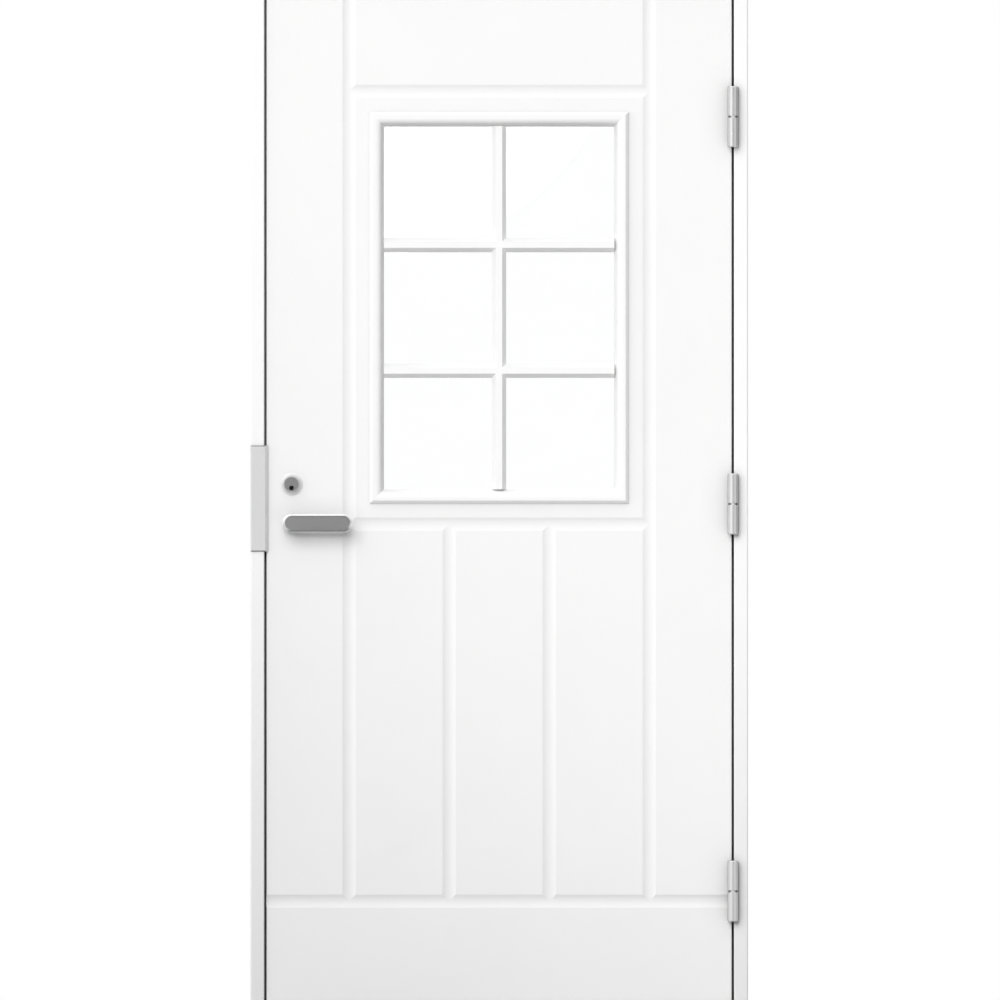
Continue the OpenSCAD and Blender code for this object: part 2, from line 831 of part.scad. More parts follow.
// Upright rectangular ring round the light, from y0 to y1
module light_ring(out_w, out_h, in_w, in_h, y0, y1) {
    translate([0, 0, light_z]) difference() {
        block([-out_w / 2, y0, -out_h / 2], [out_w / 2, y1, out_h / 2]);
        block([-in_w / 2, y0 - over, -in_h / 2], [in_w / 2, y1 + over, in_h / 2]);
    }
}

module spacer(i) {
    y = face_y + glass_depth + pane_t + i * (pane_t + pane_space);
    out = 2 * spacer_inset;
    inner = 2 * (spacer_inset + spacer_w);
    color("gray") light_ring(glass_w - out, glass_h - out, glass_w - inner, glass_h - inner, y, y + pane_space);
}

module outer_spacer() spacer(0);
module inner_spacer() spacer(1);

module setting_blocks() {
    color("black") for (x = [-glass_w / 4, glass_w / 4]) block(
        [x - block_l / 2, face_y + glass_depth, light_z - open_h / 2],
        [x + block_l / 2, face_y + glass_depth + unit_t, light_z - glass_h / 2]
    );
}

// Section swept along X or along Z: its x lies across the sweep, its y points out of the leaf's face
module run_x(length) {
    multmatrix([[0, 0, 1, 0], [0, -1, 0, 0], [1, 0, 0, 0], [0, 0, 0, 1]])
        linear_extrude(length, center = true) children();
}

module run_z(length) {
    linear_extrude(length, center = true) rotate([0, 0, 180]) children();
}

// Outline of the moulding across the whole light: a sloped rim on the face and a lip in the opening
module bead_block(size) {
    half = size / 2;
    lip = half - bead_lap - seat_fit;
    polygon([
        [-half, 0], [-lip, 0], [-lip, -lip_depth], [lip, -lip_depth], [lip, 0], [half, 0], [half, bead_foot],
        [half - bead_slope, bead_proud], [bead_slope - half, bead_proud], [-half, bead_foot]
    ]);
}

// Inner edge of the moulding, from the view's edge at x = 0: the slope is tangent to the rounding
module bead_inner_edge() {
    centre = [bead_inner, bead_proud - bead_round];
    foot = [0, -lip_depth];
    reach = norm(centre - foot);
    slope = atan2(centre[1] - foot[1], centre[0]) + asin(bead_round / reach);
    touch = foot + sqrt(reach * reach - bead_round * bead_round) * [cos(slope), sin(slope)];
    deep = -lip_depth - 2 * over;
    polygon([[0, deep], foot, touch, centre, [bead_inner, deep]]);
    translate(centre) circle(bead_round);
}

// Clear view through the moulding, flared in front by its inner edges
module bead_flare(size) {
    wide = size / 2 + bead_inner;
    difference() {
        translate([-wide, -lip_depth - over]) square([2 * wide, lip_depth + bead_proud + 2 * over]);
        for (side = [0, 1]) mirror([side, 0]) translate([size / 2, 0]) bead_inner_edge();
    }
}

// Moulding with mitred corners, as two outlines crossed and hollowed by two crossed flares
module glazing_frame() {
    translate([0, face_y, light_z]) difference() {
        intersection() {
            run_x(bead_out_w + 2 * over) bead_block(bead_out_h);
            run_z(bead_out_h + 2 * over) bead_block(bead_out_w);
        }
        intersection() {
            run_x(bead_out_w) bead_flare(view_h);
            run_z(bead_out_h) bead_flare(view_w);
        }
    }
}

module outer_glazing_frame() {
    color("white") glazing_frame();
}

module inner_glazing_frame() {
    color("white") inside() glazing_frame();
}

module glazing_seal() {
    light_ring(
        open_w - 2 * seat_fit, open_h - 2 * seat_fit, view_w, view_h,
        face_y + lip_depth, face_y + glass_depth
    );
}

module outer_glazing_seal() {
    color("dimgray") glazing_seal();
}

module inner_glazing_seal() {
    color("dimgray") inside() glazing_seal();
}

// Section of a glazing bar: x across, y out of the leaf's face
module bar_section() {
    polygon([
        [-bar_w / 2, -glass_depth], [bar_w / 2, -glass_depth], [bar_w / 2, bar_proud - bar_drop],
        [bar_flat / 2, bar_proud], [-bar_flat / 2, bar_proud], [-bar_w / 2, bar_proud - bar_drop]
    ]);
}

// Glazing bars as one grid, with the crossings mitred by their own bevels
module bar_grid() {
    col = (view_w - (pane_cols - 1) * bar_w) / pane_cols;
    row = (view_h - (pane_rows - 1) * bar_w) / pane_rows;
    translate([0, face_y, light_z]) {
        for (i = [1 : 1 : pane_cols - 1])
            translate([-view_w / 2 + i * (col + bar_w) - bar_w / 2, 0, -view_h / 2])
                mirror([0, 1, 0]) linear_extrude(view_h) bar_section();
        for (i = [1 : 1 : pane_rows - 1])
            translate([-view_w / 2, 0, -view_h / 2 + i * (row + bar_w) - bar_w / 2]) rotate([0, 90, 0])
                mirror([0, 1, 0]) linear_extrude(view_w) bar_section();
    }
}

module outer_bars() {
    color("white") bar_grid();
}

module inner_bars() {
    color("white") inside() bar_grid();
}

// Lock

// Lock case as a tray that the cover closes on the inner side and the forend in front
module lock_case() {
    y0 = leaf_mid_y - case_t / 2;
    color("silver") difference() {
        block([case_x, y0, case_z], [case_x + case_d, y0 + case_t - case_wall, case_z + case_h]);
        block(
            [case_x - over, y0 + case_wall, case_z + case_wall],
            [case_x + case_d - case_wall, y0 + case_t, case_z + case_h - case_wall]
        );
        hub_bores();
    }
}

// Bearings of the follower and the cam in the case's walls
module hub_bores() {
    for (z = [handle_z, key_z])
        bar_y(hub_r + run_fit, leaf_mid_y - case_t / 2 - over, leaf_mid_y + case_t / 2 + over, lock_x, z);
}

module lock_cover() {
    y1 = leaf_mid_y + case_t / 2;
    color("silver") difference() {
        block([case_x, y1 - case_wall, case_z], [case_x + case_d, y1, case_z + case_h]);
        hub_bores();
    }
}

module lock_forend() {
    side = move_room / 2;
    y = bolt_t / 2 + side;
    color("silver") difference() {
        block(
            [-leaf_x, leaf_mid_y - forend_w / 2, forend_z],
            [case_x, leaf_mid_y + forend_w / 2, forend_z + forend_h]
        );
        block(
            [-leaf_x - over, leaf_mid_y - y, handle_z - latch_h / 2 - side],
            [case_x + over, leaf_mid_y + y, handle_z + latch_h / 2 + side]
        );
        block(
            [-leaf_x - over, leaf_mid_y - y, key_z + dead_low - side],
            [case_x + over, leaf_mid_y + y, key_z + dead_low + dead_h + side]
        );
        screws_x(forend_screw_places, -1, run_fit);
    }
}

module edge_screws() {
    color("silver") screws_x(concat(forend_screw_places, guard_screw_places), -1);
}

// Hub with a square hole for the spindle, a collar inside the case and a finger that drives the latch
module follower() {
    color("gray") difference() {
        union() {
            bar_y(hub_r, leaf_mid_y - case_t / 2, leaf_mid_y + case_t / 2, lock_x, handle_z);
            bar_y(collar_r, leaf_mid_y - bolt_t / 2, leaf_mid_y + bolt_t / 2, lock_x, handle_z);
            block(
                [lock_x - finger_w / 2, leaf_mid_y - tail_t / 2, handle_z],
                [lock_x + finger_w / 2, leaf_mid_y + tail_t / 2, handle_z + finger_r]
            );
        }
        spindle_bar(run_fit, over);
    }
}

// Latch with a nose bevelled on the closing side, a tail over the follower and the lug that it pushes
module latch_bolt() {
    half = bolt_t / 2;
    tip = -leaf_x - latch_throw;
    root = -leaf_x + latch_len;
    lug = lock_x + finger_w / 2 + lug_room;
    color("gainsboro") {
        translate([0, leaf_mid_y, handle_z - latch_h / 2]) linear_extrude(latch_h) polygon([
            [tip, -half], [tip, -half / 3], [tip + latch_throw - over, half], [root, half], [root, -half]
        ]);
        block(
            [root - latch_throw, leaf_mid_y - tail_t / 2, handle_z],
            [root, leaf_mid_y + tail_t / 2, handle_z + tail_low + tail_h]
        );
        block(
            [root - latch_throw, leaf_mid_y - tail_t / 2, handle_z + tail_low],
            [lug + lug_w, leaf_mid_y + tail_t / 2, handle_z + tail_low + tail_h]
        );
        block(
            [lug, leaf_mid_y - tail_t / 2, handle_z + collar_r + lug_room],
            [lug + lug_w, leaf_mid_y + tail_t / 2, handle_z + tail_low + tail_h]
        );
    }
}

// Dead bolt with a forked tail beside the cam
module dead_bolt() {
    half = bolt_t / 2;
    slot_half = crank_pin_r + slot_room;
    slot_x = lock_x + crank_r / sqrt(2);
    tail_y = leaf_mid_y + crank_t / 2 + move_room;
    root = -leaf_x + dead_len;
    color("gainsboro") {
        block(
            [-leaf_x, leaf_mid_y - half, key_z + dead_low],
            [root, leaf_mid_y + half, key_z + dead_low + dead_h]
        );
        difference() {
            block(
                [root - over, tail_y, key_z + dead_tail_low],
                [slot_x + slot_half + dead_cheek, tail_y + dead_tail_t, key_z + dead_tail_low + dead_tail_h]
            );
            block(
                [slot_x - slot_half, tail_y - over, key_z],
                [slot_x + slot_half, tail_y + dead_tail_t + over, key_z + crank_r + slot_half]
            );
        }
    }
}

// Cam that the thumb turn drives: a hub, a crank and the crank's pin
module bolt_cam() {
    color("gray") difference() {
        union() {
            bar_y(hub_r, leaf_mid_y - case_t / 2, leaf_mid_y + case_t / 2, lock_x, key_z);
            translate([lock_x, leaf_mid_y, key_z]) rotate([0, 45, 0]) {
                block([-crank_w / 2, -crank_t / 2, 0], [crank_w / 2, crank_t / 2, crank_r]);
                bar_y(crank_w / 2, -crank_t / 2, crank_t / 2, 0, crank_r);
                bar_y(crank_pin_r, 0, crank_t / 2 + move_room + dead_tail_t, 0, crank_r);
            }
        }
        turn_square(run_fit, 2 * over);
    }
}

// Guard plate: a bevelled face over the frame, folded back into the leaf's edge
module guard_plate() {
    x_in = -leaf_x + guard_t;
    fold_x = x_in - guard_fold;
    fold_y = guard_y + guard_fold;
    turn = guard_t * tan(45 / 2);
    leg_y = face_y + guard_leg;
    left = -leaf_x - guard_reach;
    color("silver") difference() {
        translate([0, 0, guard_mid_z]) linear_extrude(guard_h, center = true) polygon([
            [left, guard_y], [fold_x, guard_y], [x_in, fold_y], [x_in, leg_y], [-leaf_x, leg_y],
            [-leaf_x, fold_y + turn], [fold_x - turn, guard_y + guard_t], [left, guard_y + guard_t]
        ]);
        translate([left, guard_y, guard_mid_z]) rotate([0, 0, 45])
            cube([sqrt(2) * guard_bevel, sqrt(2) * guard_bevel, guard_h + 2 * over], center = true);
        for (side = [-1, 1]) translate([-leaf_x - guard_reach / 2, guard_y, guard_mid_z + side * guard_h / 2])
            rotate([45, 0, 0]) cube([2 * guard_reach, sqrt(2) * guard_bevel, sqrt(2) * guard_bevel], center = true);
        screws_x(guard_screw_places, -1, run_fit);
    }
}

// Levers

// Section of a lever: x up, y from its back to its front
module lever_section() {
    half = lever_h / 2;
    difference() {
        translate([-half, 0]) square([lever_h, lever_t]);
        for (side = [0, 1]) mirror([side, 0]) {
            translate([half, lever_t]) rotate([0, 0, 180]) corner_waste(lever_edge_r);
            translate([half, 0]) rotate([0, 0, 90]) corner_waste(lever_back_r);
        }
    }
}

module half_lever_section() {
    intersection() {
        lever_section();
        square([lever_h, 2 * lever_t]);
    }
}

// Lever with round ends, lying along +X from the spindle, with its neck into the rose
module lever() {
    back = face_y - lever_room;
    straight = lever_l - lever_h;
    difference() {
        union() {
            translate([lock_x, back, handle_z]) {
                rotate([90, 0, 0]) rotate_extrude() half_lever_section();
                translate([straight, 0, 0]) rotate([90, 0, 0]) rotate_extrude() half_lever_section();
                multmatrix([[0, 0, 1, 0], [0, -1, 0, 0], [1, 0, 0, 0], [0, 0, 0, 1]])
                    linear_extrude(straight) lever_section();
            }
            bar_y(neck_r, back - over, face_y + skin_t / 2, lock_x, handle_z);
        }
        spindle_bar(run_fit, seat_fit);
    }
}

module outer_lever() {
    color("gray") lever();
}

module inner_lever() {
    color("gray") inside() lever();
}

// Square bar through both levers and the follower
module spindle_bar(room, past) {
    y = leaf_t / 2 + lever_room / 2 + past;
    half = spindle_w / 2 + room;
    block(
        [lock_x - half, leaf_mid_y - y, handle_z - half],
        [lock_x + half, leaf_mid_y + y, handle_z + half]
    );
}

module spindle() {
    color("dimgray") spindle_bar(0, 0);
}

module rose() {
    difference() {
        translate([lock_x, face_y, handle_z]) rotate([90, 0, 0]) rotate_extrude() difference() {
            square([rose_r, rose_t]);
            translate([rose_r, rose_t]) rotate([0, 0, 180]) corner_waste(rose_t / 4);
        }
        bar_y(neck_r + run_fit, face_y - rose_t - over, face_y + over, lock_x, handle_z);
    }
}

module outer_rose() {
    color("gray") rose();
}

module inner_rose() {
    color("gray") inside() rose();
}

// Cylinder and thumb turn

// Conical collar round the cylinder
module cylinder_ring() {
    edge = (ring_face_r - barrel_r) / 2;
    bore = barrel_r + run_fit;
    color("silver") translate([lock_x, face_y, barrel_z]) rotate([90, 0, 0]) rotate_extrude() polygon([
        [bore, 0], [ring_r, 0], [ring_r, edge], [ring_face_r, ring_t - edge], [ring_face_r - edge, ring_t], [bore, ring_t]
    ]);
}

// Cylinder body with the plug's bore below its middle
module cylinder_body() {
    color("gray") difference() {
        bar_y(barrel_r, plug_front, leaf_mid_y - case_t / 2 - seat_fit, lock_x, barrel_z);
        bar_y(plug_r + run_fit, plug_front - over, leaf_mid_y, lock_x, key_z);
    }
}

// Keyhole through the front of the plug
module keyhole(past) {
    block(
        [lock_x - key_w / 2, plug_front - over, key_z - key_h / 2],
        [lock_x + key_w / 2, plug_front + keyhole_depth + past, key_z + key_h / 2]
    );
}

// Key plug with a round recess about its keyhole
module key_plug() {
    color("dimgray") difference() {
        bar_y(plug_r, plug_front, leaf_mid_y - case_t / 2 - seat_fit, lock_x, key_z);
        bar_y(recess_r, plug_front - over, plug_front + recess_depth, lock_x, key_z);
        keyhole(0);
    }
}

// Dark shutter in the plug's recess
module key_shutter() {
    floor_y = plug_front + recess_depth;
    color("black") difference() {
        bar_y(recess_r, floor_y - shutter_t, floor_y, lock_x, key_z);
        keyhole(over);
    }
}

module thumb_rose() {
    y1 = face_y + leaf_t;
    color("gray") difference() {
        translate([lock_x, y1, key_z]) rotate([-90, 0, 0]) rotate_extrude() difference() {
            square([turn_rose_r, rose_t]);
            translate([turn_rose_r, rose_t]) rotate([0, 0, 180]) corner_waste(rose_t / 4);
        }
        bar_y(turn_shaft_r + run_fit, y1 - over, y1 + rose_t + over, lock_x, key_z);
    }
}

// Square end of the thumb turn's shaft in the cam
module turn_square(room, past) {
    half = turn_shaft_r / 2 + room;
    block(
        [lock_x - half, leaf_mid_y - case_t / 4 - past, key_z - half],
        [lock_x + half, leaf_mid_y + case_t / 2 + past, key_z + half]
    );
}

// Thumb turn: shaft through the rose, and an upright grip with round ends
module thumb_turn() {
    y1 = face_y + leaf_t;
    grip = y1 + rose_t + seat_fit;
    r = turn_w / 2;
    color("gray") {
        turn_square(0, seat_fit + over);
        bar_y(turn_shaft_r, leaf_mid_y + case_t / 2 + seat_fit, grip + over, lock_x, key_z);
        translate([lock_x, grip, key_z]) rotate([-90, 0, 0]) linear_extrude(turn_reach) union() {
            square([turn_w, turn_l - turn_w], center = true);
            for (side = [-1, 1]) translate([0, side * (turn_l - turn_w) / 2]) circle(r);
        }
    }
}

hinge_jamb();
lock_jamb();
frame_head();
threshold();
threshold_cover();
frame_seal();
threshold_seal();
strike_plate();
strike_screws();
top_hinge_frame_half();
middle_hinge_frame_half();
bottom_hinge_frame_half();
hinge_pins();
hinge_washers();
hinge_frame_screws();
outer_skin();
inner_skin();
lock_stile();
hinge_stile();
top_rail();
bottom_rail();
lining_sides();
lining_rails();
insulation_core();
outer_pane();
middle_pane();
inner_pane();
outer_spacer();
inner_spacer();
setting_blocks();
outer_glazing_frame();
inner_glazing_frame();
outer_glazing_seal();
inner_glazing_seal();
outer_bars();
inner_bars();
lock_case();
lock_cover();
lock_forend();
edge_screws();
guard_plate();
outer_rose();
inner_rose();
cylinder_body();
cylinder_ring();
thumb_rose();
top_hinge_leaf_half();
middle_hinge_leaf_half();
bottom_hinge_leaf_half();
hinge_leaf_screws();
outer_lever();
inner_lever();
spindle();
follower();
latch_bolt();
dead_bolt();
key_plug();
key_shutter();
thumb_turn();
bolt_cam();
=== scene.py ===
import math
import bpy
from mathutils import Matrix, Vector

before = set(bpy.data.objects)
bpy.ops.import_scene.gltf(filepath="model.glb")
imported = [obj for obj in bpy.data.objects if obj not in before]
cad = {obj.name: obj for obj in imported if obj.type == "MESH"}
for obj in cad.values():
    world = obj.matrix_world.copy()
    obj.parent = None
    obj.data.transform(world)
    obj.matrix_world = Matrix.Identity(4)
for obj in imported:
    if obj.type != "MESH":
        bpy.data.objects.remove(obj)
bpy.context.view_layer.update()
print("frame loaded:", len(cad), "nodes")


# small helpers for the node trees
def newMaterial(name):
    mat = bpy.data.materials.new(name)
    mat.use_nodes = True
    return mat, mat.node_tree, mat.node_tree.nodes["Principled BSDF"]


def feed(tree, node, values):
    # another node's output is linked, any other value is set
    for socket, value in values.items():
        if isinstance(value, bpy.types.NodeSocket):
            tree.links.new(value, node.inputs[socket])
        else:
            node.inputs[socket].default_value = value


def add(tree, kind, values=None, **settings):
    node = tree.nodes.new(kind)
    for key, value in settings.items():
        setattr(node, key, value)
    feed(tree, node, values or {})
    return node


def maths(tree, operation, first, second=0.0, **settings):
    return add(tree, "ShaderNodeMath", {0: first, 1: second}, operation=operation, **settings).outputs[0]


def vectors(tree, operation, first, second=(0, 0, 0)):
    node = add(tree, "ShaderNodeVectorMath", {0: first, 1: second}, operation=operation)
    return node.outputs["Value" if operation in ("LENGTH", "DOT_PRODUCT") else "Vector"]


def split(tree, vector):
    return add(tree, "ShaderNodeSeparateXYZ", {"Vector": vector}).outputs


def grey(tone):
    return (tone, tone, tone, 1)


def placeCoords(tree, stretch=(1, 1, 1)):
    # object space is metres in the door's own frame, so the grain rides with the leaf
    coords = add(tree, "ShaderNodeTexCoord")
    mapping = add(tree, "ShaderNodeMapping", {"Vector": coords.outputs["Object"], "Scale": stretch})
    return mapping.outputs["Vector"]


def noise(tree, vector, scale, detail=3.0, rough=0.55):
    values = {"Vector": vector, "Scale": scale, "Detail": detail, "Roughness": rough}
    return add(tree, "ShaderNodeTexNoise", values).outputs["Fac"]


def spread(tree, value, low, high, fromLow=0.3, fromHigh=0.7, **settings):
    values = {"Value": value, "From Min": fromLow, "From Max": fromHigh, "To Min": low, "To Max": high}
    return add(tree, "ShaderNodeMapRange", values, **settings).outputs["Result"]


def tint(tree, value, stops):
    ramp = add(tree, "ShaderNodeValToRGB", {"Fac": value})
    elements = ramp.color_ramp.elements
    elements.remove(elements[1])
    elements[0].position = stops[0][0]
    for stop in stops[1:]:
        elements.new(stop[0])
    for element, stop in zip(elements, stops):
        element.color = (*stop[1], 1)
    return ramp.outputs["Color"]


def bump(tree, shader, height, strength, distance):
    node = add(tree, "ShaderNodeBump", {"Height": height, "Strength": strength, "Distance": distance})
    feed(tree, shader, {"Normal": node.outputs["Normal"]})


def toned(tree, colour, factor, tone):
    mix = add(tree, "ShaderNodeMix", data_type="RGBA", blend_type="MULTIPLY")
    feed(tree, mix, {"Factor": factor, "A": colour, "B": grey(tone)})
    return mix.outputs["Result"]


def cornered(tree, colour, reach, dull, rays=4):
    # painted shade: darker in corners and deep cuts, where less light gets in
    corner = add(tree, "ShaderNodeAmbientOcclusion", {"Distance": reach}, samples=rays)
    return toned(tree, colour, spread(tree, corner.outputs["AO"], dull, 0, 0, 1), 0)


def eyeRays(tree, path):
    return maths(tree, "MAXIMUM", path["Is Camera Ray"], path["Is Transmission Ray"])


def showMix(tree, share, first, second):
    mix = add(tree, "ShaderNodeMixShader", {"Fac": share, 1: first, 2: second})
    feed(tree, tree.nodes["Material Output"], {"Surface": mix.outputs["Shader"]})


# sprayed white paint, a little cloudy; the corner pair is reach and strength of the painted shade in corners
sprayed = {"shade": 0.988, "cloudScale": 6.0, "cloudBand": (0.35, 0.65), "roughScale": 35.0,
           "peelDepth": 0.00003, "peelDetail": 2.0}
paints = {
    "leafPaint": {**sprayed, "colour": (0.895, 0.895, 0.893), "rough": (0.34, 0.44), "peelScale": 700.0,
                  "peelStrength": 0.25, "corner": (0.06, 0.5)},
    "beadPaint": {**sprayed, "colour": (0.91, 0.91, 0.908), "rough": (0.32, 0.42), "peelScale": 700.0,
                  "peelStrength": 0.2, "corner": (0.02, 0.02)},
    "framePaint": {**sprayed, "colour": (0.93, 0.93, 0.928), "rough": (0.36, 0.46), "peelScale": 650.0,
                   "peelStrength": 0.25, "corner": (0.02, 0.5), "foot": 0.87, "footTop": 1.0},
}


def paintMaterial(name, look):
    mat, tree, shader = newMaterial(name)
    place = placeCoords(tree)
    dim = [c * look["shade"] for c in look["colour"]]
    low, high = look["cloudBand"]
    coat = tint(tree, noise(tree, place, look["cloudScale"]), [(low, dim), (high, look["colour"])])
    if "foot" in look:
        # painted shade: the paint darkens towards the ground, where the light falls off
        footShadeMask = spread(tree, split(tree, place)["Z"], 1, 0, 0, look["footTop"])
        coat = toned(tree, coat, footShadeMask, look["foot"])
    # painted shade in corners darkens the base colour
    feed(tree, shader, {"Base Color": cornered(tree, coat, *look["corner"]),
                        "Roughness": spread(tree, noise(tree, place, look["roughScale"]), *look["rough"])})
    peel = noise(tree, place, look["peelScale"], look["peelDetail"])
    bump(tree, shader, peel, look["peelStrength"], look["peelDepth"])
    return mat


# satin and polished metals with a fine grain drawn out along one axis
# "edge" is painted highlight and shade by the way faces turn: axis, from, to, tone; a low "rim" dims what is
# seen at a slant
drawn = {"grainDetail": 4.0, "grainBand": (0.3, 0.7), "grainStrength": 0.15, "dim": 0.96, "cool": 1.01,
         "rim": 1.0}
metals = {
    "hingeSteel": {**drawn, "colour": 0.68, "metal": 0.5, "rough": (0.16, 0.22), "along": (900, 900, 12),
                   "grain": 0.00001, "corner": (0.04, 1.0), "rim": 0.0},
    "washerSteel": {**drawn, "colour": 0.85, "metal": 0.1, "rough": (0.30, 0.40), "along": (600, 600, 600),
                    "grain": 0.00001, "edge": ("X", 0.05, 0.65, 0.08)},
    "leverSteel": {**drawn, "colour": 0.64, "metal": 1.0, "rough": (0.20, 0.25), "along": (30, 900, 900),
                   "grain": 0.000003, "edge": ("Y", 0.95, 0.75, 1.5), "under": 1.0},
    "ringSteel": {**drawn, "colour": 0.90, "metal": 0.05, "rough": (0.14, 0.22), "along": (500, 500, 500),
                  "grain": 0.000005, "on": "cylinder_ring", "hub": 0.5, "hubFrom": 0.014, "hubTo": 0.021},
    "cylinderSteel": {**drawn, "colour": 0.49, "metal": 1.0, "rough": (0.28, 0.36), "along": (600, 600, 600),
                      "grain": 0.00001, "corner": (0.006, 1.0)},
    "guardZinc": {**drawn, "colour": 0.73, "metal": 0.2, "rough": (0.34, 0.45), "along": (700, 700, 20),
                  "grain": 0.00001, "edge": ("Z", 0.3, 0.6, 0.43)},
    "plateSteel": {**drawn, "colour": 0.70, "metal": 1.0, "rough": (0.25, 0.38), "along": (700, 700, 15),
                   "grain": 0.00001},
    "screwSteel": {**drawn, "colour": 0.68, "metal": 1.0, "rough": (0.20, 0.34), "along": (400, 400, 400),
                   "grain": 0.00002},
    "lockSteel": {**drawn, "colour": 0.55, "metal": 1.0, "rough": (0.30, 0.45), "along": (500, 60, 500),
                  "grain": 0.00002},
    "coverAluminium": {**drawn, "colour": 0.78, "metal": 1.0, "rough": (0.30, 0.42), "along": (10, 800, 800),
                       "grain": 0.00001},
}


def turnLightPainted(tree, colour, look):
    # painted light, told from the face by the way it turns: a painted highlight on rims, painted shade on
    # sides and cut ends
    axis, fromTurn, toTurn, tone = look["edge"]
    turns = split(tree, add(tree, "ShaderNodeTexCoord").outputs["Normal"])
    turn = maths(tree, "ABSOLUTE", turns[axis])
    if "under" in look:
        # what faces down gets no painted highlight and counts as face
        down = maths(tree, "MULTIPLY", turns["Z"], -look["under"], use_clamp=True)
        turn = maths(tree, "ADD", turn, down)
    return toned(tree, colour, spread(tree, turn, 0, 1, fromTurn, toTurn), tone)


def hubToned(tree, colour, look):
    # painted reflection: darker towards the middle of a round piece, as a domed ring mirrors the dim space in
    # front
    corners = [Vector(corner) for corner in cad[look["on"]].bound_box]
    middle = sum(corners, Vector()) / len(corners)
    centred = vectors(tree, "SUBTRACT", add(tree, "ShaderNodeTexCoord").outputs["Object"], middle)
    radius = vectors(tree, "LENGTH", vectors(tree, "MULTIPLY", centred, (1, 0, 1)))  # depth left out
    return toned(tree, colour, spread(tree, radius, 1, 0, look["hubFrom"], look["hubTo"]), look["hub"])


def metalMaterial(name, look):
    mat, tree, shader = newMaterial(name)
    grain = noise(tree, placeCoords(tree, look["along"]), 1.0, look["grainDetail"])  # "along" holds the scale
    value = look["colour"]
    dim = value * look["dim"]
    low, high = look["grainBand"]
    colour = tint(tree, grain, [(low, (dim, dim, dim)), (high, (value, value, value * look["cool"]))])
    # painted highlight and painted shade by the way faces turn
    if "edge" in look:
        colour = turnLightPainted(tree, colour, look)
    # painted reflection, darker towards the middle
    if "hub" in look:
        colour = hubToned(tree, colour, look)
    # painted shade in corners
    if "corner" in look:
        colour = cornered(tree, colour, *look["corner"])
    feed(tree, shader, {"Base Color": colour, "Roughness": spread(tree, grain, *look["rough"]),
                        "Metallic": look["metal"], "Specular Tint": grey(look["rim"])})
    bump(tree, shader, grain, look["grainStrength"], look["grain"])
    return mat


# timber: threshold in oiled hardwood, lining of the light in pine
wood = {"bend": 6.0, "ringDetail": 3.0, "ringBand": (0.15, 0.75), "fibreScale": 40.0, "fibreDetail": 5.0,
        "fibreStrength": 0.2, "fibreDepth": 0.0002}
pine = {**wood, "light": (0.78, 0.60, 0.38), "dark": (0.62, 0.42, 0.22), "rings": 1.0, "rough": (0.50, 0.65)}
timbers = {
    "oakSill": {**wood, "light": (0.50, 0.33, 0.18), "dark": (0.34, 0.20, 0.10), "along": (0.6, 9, 9),
                "rings": 1.5556, "rough": (0.38, 0.55)},
    "pineUpright": {**pine, "along": (9, 9, 0.5)},
    "pineCross": {**pine, "along": (0.5, 9, 9)},
}


def timberMaterial(name, look):
    mat, tree, shader = newMaterial(name)
    grained = placeCoords(tree, look["along"])
    rings = add(tree, "ShaderNodeTexWave", {"Vector": grained, "Scale": look["rings"]}, wave_type="RINGS")
    feed(tree, rings, {"Distortion": look["bend"], "Detail": look["ringDetail"]})
    low, high = look["ringBand"]
    colour = tint(tree, rings.outputs["Fac"], [(low, look["dark"]), (high, look["light"])])
    fibres = noise(tree, grained, look["fibreScale"], look["fibreDetail"])
    feed(tree, shader, {"Base Color": colour, "Roughness": spread(tree, fibres, *look["rough"])})
    bump(tree, shader, fibres, look["fibreStrength"], look["fibreDepth"])
    return mat


# rubber seals, the dark shutter of the keyhole and the foam core
moulded = {"grainBand": (0.35, 0.7), "strength": 0.3, "shine": 0.5}
softs = {
    "darkRubber": {**moulded, "colour": (0.045, 0.045, 0.047), "lift": 1.5, "rough": (0.55, 0.75),
                   "scale": 260.0, "depth": 0.0001},
    "paleSeal": {**moulded, "colour": (0.42, 0.42, 0.42), "lift": 1.1, "rough": (0.55, 0.75),
                 "scale": 260.0, "depth": 0.0001},
    "darkPlastic": {**moulded, "colour": (0.008, 0.008, 0.008), "lift": 1.3, "rough": (0.60, 0.75),
                    "scale": 500.0, "depth": 0.00005, "shine": 0.03},
    "foamCore": {**moulded, "colour": (0.72, 0.75, 0.80), "lift": 1.2, "rough": (0.75, 0.90),
                 "scale": 350.0, "depth": 0.0006},
}


def softMaterial(name, look):
    mat, tree, shader = newMaterial(name)
    grain = noise(tree, placeCoords(tree), look["scale"])
    lifted = [c * look["lift"] for c in look["colour"]]
    low, high = look["grainBand"]
    feed(tree, shader, {"Base Color": tint(tree, grain, [(low, look["colour"]), (high, lifted)]),
                        "Roughness": spread(tree, grain, *look["rough"]),
                        "Specular IOR Level": look["shine"]})
    bump(tree, shader, grain, look["strength"], look["depth"])
    return mat


# clear float glass, wiped clean
glass = {"colour": (0.998, 1.0, 0.999), "wiped": (0.996, 0.998, 0.997), "bend": 1.10, "wipeAlong": (1, 1, 3),
         "wipeScale": 5.0, "wipeDetail": 4.0, "wipeBand": (0.35, 0.65)}


